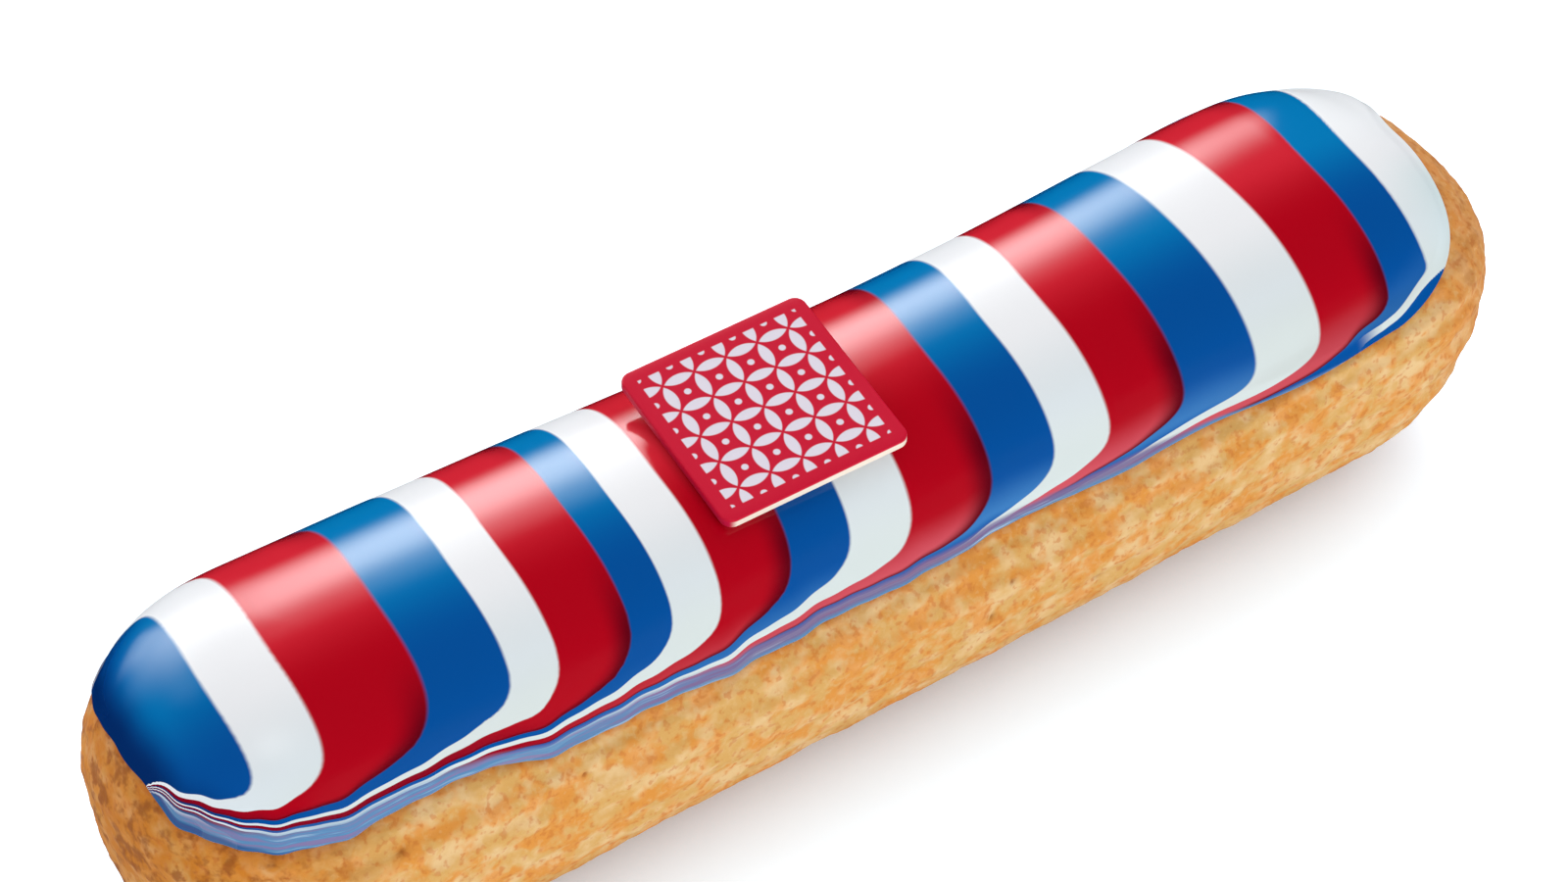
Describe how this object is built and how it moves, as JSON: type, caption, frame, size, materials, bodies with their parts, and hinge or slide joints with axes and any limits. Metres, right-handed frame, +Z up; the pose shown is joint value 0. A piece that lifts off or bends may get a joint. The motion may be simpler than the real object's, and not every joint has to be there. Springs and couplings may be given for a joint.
{
  "type": "eclair",
  "caption": "Long oval eclair of golden choux with a glossy blue, white and red striped icing coat and a small square red plaque pressed on its top.",
  "frame": {"origin": "on the table, below the middle of the eclair's box", "axes": "+X along the eclair towards the end where bare choux shows past the icing, -Y is the front that the picture shows, +Z up"},
  "size_m": [0.1507, 0.0387, 0.0383],
  "materials": {
    "baked_choux": "dry baked crust, golden with paler and browner mottles and fine lengthwise ridges",
    "striped_icing": "smooth glossy fondant in crosswise blue, white and red stripes that bend along the rim",
    "plaque_chocolate": "thin satin chocolate, red on top with a fine white pattern, cream at its edges"
  },
  "bodies": {
    "root": {"choux": "baked_choux", "icing": "striped_icing", "plaque": "plaque_chocolate"}
  },
  "joints": []
}
